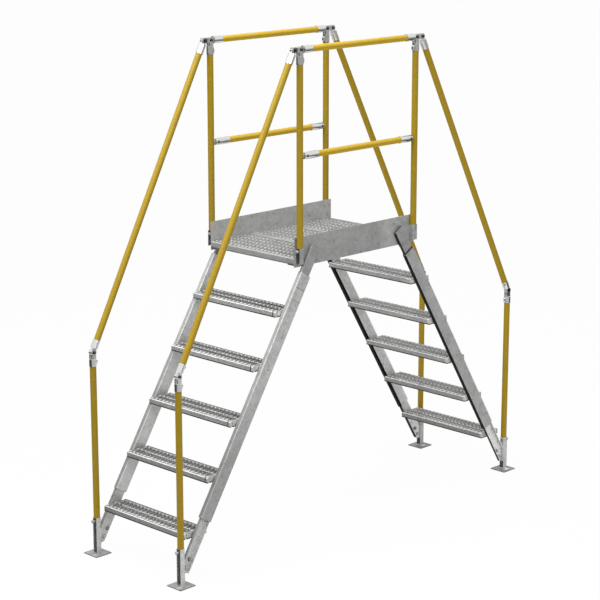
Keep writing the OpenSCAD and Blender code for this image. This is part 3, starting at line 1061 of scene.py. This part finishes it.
M8_BOLT = model_bolt(9 * MM, 7.5 * MM, 5.5 * MM)
M10_BOLT = model_bolt(11 * MM, 9.5 * MM, 6.4 * MM)
print("bolt has", len(M8_BOLT.data.polygons), "faces")

# %% Bolt the treads and the planks
BOLTS_BEHIND_NOSE = 88.5
TREAD_BOLT_GAP = 11
TREAD_BOLT_DROP = 14.5
END_PLATE_Y = 302
LEDGE_SHEET = 5
LEDGE_BOLTS_X = (-100, 100)
LEDGE_BOLT_Y = 282


def tread_bolt_places():
    places = []
    for outward, nose, top in tread_noses():
        for side in SIDES:
            for gap in (-TREAD_BOLT_GAP, TREAD_BOLT_GAP):
                x = nose / MM - outward * (BOLTS_BEHIND_NOSE + gap)
                places.append(stand((x, side * END_PLATE_Y, top / MM - TREAD_BOLT_DROP), (0, -side, 0)))
    return places


def ledge_bolt_places():
    ledge_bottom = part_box("deck_planks")[0][2] / MM - LEDGE_SHEET
    xs = [middle / MM + offset for middle in plank_middles() for offset in LEDGE_BOLTS_X]
    return [stand((x, side * LEDGE_BOLT_Y, ledge_bottom), (0, 0, -1)) for x in xs for side in SIDES]


fit_out("tread_bolts", M8_BOLT, tread_bolt_places(), zinc_bolt)
fit_out("plank_bolts", M8_BOLT, ledge_bolt_places(), zinc_bolt)

# %% Bolt the stubs and the legs
LEG_HALF = 15
STUB_FOOT_X = LEG_X - LEG_HALF
STUB_FOOT_Z = 74.4
STUB_WEB_Y = 315
STUB_INNER_Y = 312
STUB_BOLT_BACK = 12
STUB_BOLT_TURN = 0.4
UPPER_BOLT = 66
LOWER_BOLT = 20
CLAMP_Z = 180


def stub_bolt_places(up):
    """Both ends of the bolts that go through the stubs at a distance up the slope."""
    x = STUB_FOOT_X - up * math.cos(SLOPE) - STUB_BOLT_BACK * math.sin(SLOPE)
    z = STUB_FOOT_Z + up * math.sin(SLOPE) - STUB_BOLT_BACK * math.cos(SLOPE)
    places = []
    for flight, side in CORNERS:
        places.append(stand((flight * x, side * STUB_WEB_Y, z), (0, side, 0), STUB_BOLT_TURN))
        places.append(stand((flight * x, side * STUB_INNER_Y, z), (0, -side, 0), STUB_BOLT_TURN))
    return places


def clamp_head_places():
    return [stand((flight * STUB_FOOT_X, side * LEG_Y, CLAMP_Z), (-flight, 0, 0)) for flight, side in CORNERS]


fit_out("upper_stub_bolts", M10_BOLT, stub_bolt_places(UPPER_BOLT), grimy_bolt)
fit_out("lower_stub_bolts", M10_BOLT, stub_bolt_places(LOWER_BOLT), zinc_bolt)
fit_out("clamp_heads", M8_BOLT, clamp_head_places(), grimy_bolt)
for master in (M8_BOLT, M10_BOLT):
    bpy.data.objects.remove(master)

# %% [markdown]
# ## Clamp nuts
#
# A long bolt through each leg and each post socket keeps the plug under the post in place. The heads on the
# legs were set above, and the nuts stand out of the open side of the channels. A nut, a tip and a shank could
# be three pieces, but one six-sided cylinder is enough: the outer face is inset for the chamfer and again for
# the end of the bolt, and the inner face is inset and drawn out into the shank.

# %% Model a clamp nut and set one on every leg and socket
NUT_RADIUS = 9 * MM
NUT_HEIGHT = 8 * MM
NUT_BEVEL = 0.5 * MM
SHANK_RADIUS = 4.5 * MM
SHANK_LENGTH = 27 * MM
BOLT_TIP = 3 * MM
LEG_NUT_OUT = 9
SOCKET_CLAMP_Z = 1562
NUT_TURN = 0.3


def model_clamp_nut():
    deselect_all()
    middle = (0, 0, NUT_HEIGHT / 2)
    bpy.ops.mesh.primitive_cylinder_add(vertices=6, radius=NUT_RADIUS, depth=NUT_HEIGHT, location=middle)
    nut = bpy.context.object
    bpy.ops.object.transform_apply()
    pick_faces(nut, looking("Z", 1))
    bpy.ops.mesh.inset(thickness=0.15 * NUT_RADIUS, depth=0.1 * NUT_HEIGHT)
    bpy.ops.mesh.inset(thickness=0.8 * NUT_RADIUS - SHANK_RADIUS)
    push(0, 0, BOLT_TIP)
    pick_faces(nut, looking("Z", -1))
    bpy.ops.mesh.inset(thickness=NUT_RADIUS - SHANK_RADIUS)
    push(0, 0, -SHANK_LENGTH)
    bpy.ops.object.mode_set(mode="OBJECT")
    soften(nut, NUT_BEVEL)
    return nut


def clamp_places():
    legs = (LEG_X + LEG_HALF + LEG_NUT_OUT, LEG_Y, CLAMP_Z)
    sockets = (POST_X + LEG_HALF, POST_Y, SOCKET_CLAMP_Z)
    return [stand((flight * x, side * y, z), (flight, 0, 0), NUT_TURN)
            for x, y, z in (legs, sockets) for flight, side in CORNERS]


clamp_nut = model_clamp_nut()
fit_out("clamp_nuts", clamp_nut, clamp_places(), zinc_bolt)
bpy.data.objects.remove(clamp_nut)

# %% [markdown]
# ## Pin heads and set screws
#
# The swivels turn on pins with black socket heads, and each sleeve grips its tube with black set screws. Both
# are short round screws with a recess for a key: a cylinder whose top face is inset and pushed down. Their
# rims are bevelled, because a sharp black edge shows no highlight and looks like a hole.

# %% Model the screws
SMOOTH_ANGLE = math.radians(35)


def model_screw(radius, height, recess_radius):
    """A round screw along +Z about the origin. Recess depth and rim are shares of its size."""
    deselect_all()
    bpy.ops.mesh.primitive_cylinder_add(vertices=20, radius=radius, depth=height)
    screw = bpy.context.object
    pick_faces(screw, looking("Z", 1))
    bpy.ops.mesh.inset(thickness=radius - recess_radius)
    push(0, 0, -0.6 * height)
    bpy.ops.object.mode_set(mode="OBJECT")
    soften(screw, 0.15 * radius)
    bpy.ops.object.shade_smooth_by_angle(angle=SMOOTH_ANGLE)
    return screw


PIN_HEAD = model_screw(7.5 * MM, 4 * MM, 3 * MM)
SET_SCREW = model_screw(5 * MM, 5 * MM, 2.4 * MM)
print("screw has", len(PIN_HEAD.data.polygons), "faces")

# %% Put a head on both ends of every pin
MID_Z = 2046
KNEE_Z = 1074
PIN_X = POST_X + 44
MID_PIN_X = POST_X - 41
PIN_HALF = 15


def pin_places():
    pins = ((POST_X, POST_Y, RAIL_Z), (PIN_X, POST_Y, RAIL_Z),
            (MID_PIN_X, POST_Y, MID_Z), (LEG_X, LEG_Y, KNEE_Z))
    return [stand((flight * x, side * y + end * PIN_HALF, z), (0, end, 0))
            for x, y, z in pins for flight, side in CORNERS for end in SIDES]


fit_out("pin_heads", PIN_HEAD, pin_places(), black_screw)

# %% Put the set screws into the sleeves
SLEEVE_RADIUS = 19
SCREW_SEAT = SLEEVE_RADIUS - 1
SCREW_SPOTS = ((POST_X - 62, POST_Y, RAIL_Z), (POST_X, POST_Y, RAIL_Z - 58),
               (MID_PIN_X - 55, POST_Y, MID_Z), (LEG_X, LEG_Y, KNEE_Z - 62))
RAIL_SLOPE = math.atan2(RAIL_Z - KNEE_Z, LEG_X - PIN_X)
KNEE_SCREW_UP = 52
KNEE_SCREW_TURN = math.radians(35)


def knee_screw_place(flight, side):
    """The screw under the end of a sloping rail, turned a little to the outside."""
    along = Vector((-flight * math.cos(RAIL_SLOPE), 0, math.sin(RAIL_SLOPE)))
    under = Vector((-flight * math.sin(RAIL_SLOPE), 0, -math.cos(RAIL_SLOPE)))
    facing = under * math.cos(KNEE_SCREW_TURN) + Vector((0, side * math.sin(KNEE_SCREW_TURN), 0))
    knee = Vector((flight * LEG_X, side * LEG_Y, KNEE_Z))
    return stand(knee + along * KNEE_SCREW_UP + facing * SCREW_SEAT, facing)


def set_screw_places():
    places = [stand((flight * x, side * y + SCREW_SEAT, z), (0, 1, 0))
              for x, y, z in SCREW_SPOTS for flight, side in CORNERS]
    return places + [knee_screw_place(flight, side) for flight, side in CORNERS]


fit_out("set_screws", SET_SCREW, set_screw_places(), black_screw)
for master in (PIN_HEAD, SET_SCREW):
    bpy.data.objects.remove(master)

# %% [markdown]
# ## Bosses of the sleeves
#
# Each sleeve on a post has a boss on its inner side, where the thread of another set screw needs more metal.
# It could be cut from a wedge, but a block whose outer face is drawn in and whose edges are rounded is
# quicker, and a casting leaves its mould more easily when its sides slope.

# %% Model a boss and set one on every post sleeve
BOSS_SIZE = (12 * MM, 16 * MM, 32 * MM)
BOSS_DRAW = (1, 0.75, 0.6)
BOSS_BEVEL = 2 * MM
BOSS_PROUD = 8 * MM
BOSS_DROP = 55


def model_boss():
    """A boss that stands along +X on a face through the origin."""
    deselect_all()
    middle = (BOSS_PROUD - BOSS_SIZE[0] / 2, 0, 0)
    bpy.ops.mesh.primitive_cube_add(size=1, location=middle, scale=BOSS_SIZE)
    boss = bpy.context.object
    bpy.ops.object.transform_apply()
    pick_faces(boss, looking("X", 1))
    bpy.ops.transform.resize(value=BOSS_DRAW)
    bpy.ops.object.mode_set(mode="OBJECT")
    soften(boss, BOSS_BEVEL, 3)
    bpy.ops.object.shade_smooth_by_angle(angle=SMOOTH_ANGLE)
    return boss


def boss_places():
    knees = (LEG_X - SLEEVE_RADIUS, LEG_Y, KNEE_Z - BOSS_DROP)
    tops = (POST_X - SLEEVE_RADIUS, POST_Y, RAIL_Z - BOSS_DROP)
    return [point_inward((flight * x, side * y, z), flight)
            for x, y, z in (knees, tops) for flight, side in CORNERS]


boss = model_boss()
fit_out("sleeve_bosses", boss, boss_places(), bright_fitting)
bpy.data.objects.remove(boss)

# %% [markdown]
# ## Middle rail swivels
#
# Each end of a middle rail sits in a swivel: a sleeve for the tube that runs on into a rounded clevis, which
# is pinned to a lug on the post. Blocks could be joined for it, but a casting flows from the round sleeve to
# the narrow nose, so the end of a cylinder is drawn out in steps and narrowed at each one. The swivels take
# the place of the construction's plainer ones.

# %% Model a swivel
SWIVEL_START = 58 * MM
SWIVEL_END = 122 * MM
SWIVEL_BEVEL = 0.8 * MM
SWIVEL_SMOOTH = math.radians(40)
BORE_WALL = 2.1 * MM
BORE_DEPTH = 6 * MM
NOSE_STEPS = ((14 * MM, 0.84, 0.97), (18 * MM, 0.97, 0.93))
LUG_SIZE = (30 * MM, 11 * MM, 26 * MM)
LUG_X = 23 * MM
LUG_DRAW = (1, 1, 0.7)


def model_lug():
    deselect_all()
    bpy.ops.mesh.primitive_cube_add(size=1, location=(LUG_X, 0, 0), scale=LUG_SIZE)
    lug = bpy.context.object
    bpy.ops.object.transform_apply()
    pick_faces(lug, looking("X", 1))
    bpy.ops.transform.resize(value=LUG_DRAW)
    bpy.ops.object.mode_set(mode="OBJECT")
    return lug


def model_swivel():
    """A swivel that runs along +X from a post at the origin."""
    deselect_all()
    middle = ((SWIVEL_START + SWIVEL_END) / 2, 0, 0)
    size = {"radius": SLEEVE_RADIUS * MM, "depth": SWIVEL_END - SWIVEL_START}
    bpy.ops.mesh.primitive_cylinder_add(vertices=40, location=middle, rotation=(0, math.pi / 2, 0), **size)
    sleeve = bpy.context.object
    bpy.ops.object.transform_apply()
    pick_faces(sleeve, looking("X", 1))
    bpy.ops.mesh.inset(thickness=BORE_WALL)
    push(-BORE_DEPTH, 0, 0)
    pick_faces(sleeve, looking("X", -1))
    for length, width, height in NOSE_STEPS:
        push(-length, 0, 0)
        bpy.ops.transform.resize(value=(1, width, height))
    bpy.ops.object.mode_set(mode="OBJECT")
    swivel = join([sleeve, model_lug()], "swivel")
    soften(swivel, SWIVEL_BEVEL)
    bpy.ops.object.shade_smooth_by_angle(angle=SWIVEL_SMOOTH)
    return swivel


swivel = model_swivel()
print("swivel has", len(swivel.data.polygons), "faces")

# %% Set one at each end of the middle rails
for side, word in zip(SIDES, ("near", "far")):
    places = [point_inward((flight * POST_X, side * POST_Y, MID_Z), flight) for flight in SIDES]
    piece = fit_out(f"{word}_mid_swivels", swivel, places, bright_fitting)
    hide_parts(f"{word}_mid_fittings")
bpy.data.objects.remove(swivel)

# %% [markdown]
# ## Weld beads
#
# The legs are welded to their base plates, the stubs to the legs and the sockets to the side plates. A weld
# bead is a row of overlapping drops. It could be a tube with ripples, but one flattened ball that an array
# lays in a row along each seam is simpler. The zinc runs over the welds too, so they take the bolts' finish.

# %% Model a weld
DROP_SIZE = (2.6, 2.6, 2.9)
DROP_PITCH = 3.2


def model_weld(length):
    """A row of drops along +Z, from the origin."""
    deselect_all()
    bpy.ops.mesh.primitive_uv_sphere_add(segments=8, ring_count=6, radius=1 * MM)
    drop = bpy.context.object
    bpy.ops.object.mode_set(mode="EDIT")
    bpy.ops.mesh.select_all(action="SELECT")
    bpy.ops.transform.resize(value=DROP_SIZE)
    bpy.ops.object.mode_set(mode="OBJECT")
    bpy.ops.object.shade_smooth()
    repeat(drop, int(length / DROP_PITCH), (0, 0, DROP_PITCH * MM))
    return drop


print("weld drops are", DROP_PITCH, "mm apart")

# %% Lay the seams
LEG_SEAM = 2 * LEG_HALF
STUB_SEAM = 70
STUB_SEAM_Z = 61
SOCKET_SEAM = 83
SOCKET_FOOT_Z = 1496
PLATE_Y = 309
SEAM_INSET = 2


def leg_weld_places():
    places = []
    for flight, side in CORNERS:
        for edge in SIDES:
            start = (flight * (STUB_FOOT_X + SEAM_INSET), side * LEG_Y + edge * LEG_HALF, BASE_TOP)
            places.append(stand(start, (flight, 0, 0)))
        start = (flight * STUB_FOOT_X, side * LEG_Y - LEG_HALF + SEAM_INSET, BASE_TOP)
        places.append(stand(start, (0, 1, 0)))
    return places


def stub_weld_places():
    return [stand((flight * STUB_FOOT_X, side * y, STUB_SEAM_Z), (0, 0, 1))
            for flight, side in CORNERS for y in (STUB_INNER_Y, STUB_WEB_Y)]


def socket_weld_places():
    return [stand((flight * (POST_X + edge * LEG_HALF), side * PLATE_Y, SOCKET_FOOT_Z), (0, 0, 1))
            for flight, side in CORNERS for edge in SIDES]


SEAMS = (("leg_welds", LEG_SEAM, leg_weld_places()), ("stub_welds", STUB_SEAM, stub_weld_places()),
         ("socket_welds", SOCKET_SEAM, socket_weld_places()))
for name, length, places in SEAMS:
    weld = model_weld(length)
    fit_out(name, weld, places, zinc_bolt)
    bpy.data.objects.remove(weld)

# %% [markdown]
# ## Floor, light and background
#
# The ladder stands on a plain pale floor under soft light. A big lamp in front of the near side and one above
# light the faces that look that way, and the world fills the shadows. The floor and the world show white to
# the camera, and the floor still darkens a little under the feet. Bright metal in an all-white room looks
# like paper. Dark cards could stand round the ladder, but here only reflections see a dark ring on the floor,
# two darker sectors in it, which stand in for dark cards, and a dark band along the horizon.

# %% Lay the floor
FLOOR_SIZE = 80
FLOOR_Z = -0.5 * MM
FLOOR_GLOW = 0.96
DARK_BAND = 0.95
RING_START = (2.4, 3.2)
RING_FAR = (5, 8)
RING_GREY = 0.42
RING_FAR_GREY = 0.18
LEFT_SECTOR = (150, 41)
RIGHT_SECTOR = (326, 26)
RIGHT_SECTOR_END = (8, 6)


def sector(finish, radius, azimuth, half):
    """1 in a sector of the floor, seen from the ladder."""
    toward = math.radians(azimuth)
    x = finish.part_of(finish.place, "X")
    y = finish.part_of(finish.place, "Y")
    along = x * math.cos(toward) + y * math.sin(toward)
    return (along - radius * math.cos(math.radians(half))).between(-0.2, 0.2)


def dark_in_mirrors(finish):
    radius = finish.node("ShaderNodeVectorMath", {"operation": "LENGTH"}, {0: finish.place}, "Value")
    right = sector(finish, radius, *RIGHT_SECTOR) * radius.between(*RIGHT_SECTOR_END)
    sectors = sector(finish, radius, *LEFT_SECTOR) + right
    ring = RING_GREY + radius.between(*RING_FAR) * RING_FAR_GREY
    return (sectors + (1 - sectors) * ring) * radius.between(*RING_START) * DARK_BAND


def lay_floor():
    deselect_all()
    bpy.ops.mesh.primitive_plane_add(size=FLOOR_SIZE, location=(0, 0, FLOOR_Z))
    floor = bpy.context.object
    floor.name = "floor"
    finish = Finish("pale_floor")
    finish.surface(Base_Color=(0.8, 0.8, 0.8), Roughness=0.9)
    glow = 1 - finish.ray("Glossy") * dark_in_mirrors(finish)
    white = finish.node("ShaderNodeEmission", None, {"Color": glow})
    lit = Wire(finish, finish.shader.outputs[0])
    share = finish.shown_or_mirrored() * FLOOR_GLOW
    shown = finish.node("ShaderNodeMixShader", None, {0: share, 1: lit, 2: white})
    finish.feed(finish.nodes["Material Output"].inputs["Surface"], shown)
    floor.data.materials.append(finish.material)


lay_floor()
print("floor laid")

# %% Hang the lamps
LAMP_TARGET = Vector((0, 0, 1.2))


def hang_lamp(name, place, size, power):
    data = bpy.data.lights.new(name, "AREA")
    data.size = size
    data.energy = power
    made = bpy.data.objects.new(name, data)
    made.location = place
    made.rotation_euler = (LAMP_TARGET - Vector(place)).to_track_quat("-Z", "Y").to_euler()
    SCENE.collection.objects.link(made)


hang_lamp("near_lamp", (-1.0, -7.0, 4.5), 4.0, 150)
hang_lamp("top_lamp", (-2.5, 0.0, 5.4), 3.0, 210)
print("lamps hung")

# %% Light the world
SOFT_FILL = 0.6
HORIZON = (0.16, 0.06)
HORIZON_SHARE = 0.6


def light_world():
    world = bpy.data.worlds.new("studio")
    SCENE.world = world
    tree = Tree(world)
    background = tree.nodes["Background"]
    tree.feed(background.inputs["Color"], (1, 1, 1))
    height = tree.part_of(tree.node("ShaderNodeTexCoord", output="Generated"), "Z")
    band = tree.ray("Glossy") * height.between(*HORIZON) * (DARK_BAND * HORIZON_SHARE)
    tree.feed(background.inputs["Strength"], SOFT_FILL + tree.shown_or_mirrored() * (1 - SOFT_FILL) - band)


light_world()
SCENE.view_settings.view_transform = "Standard"
print("world lit")
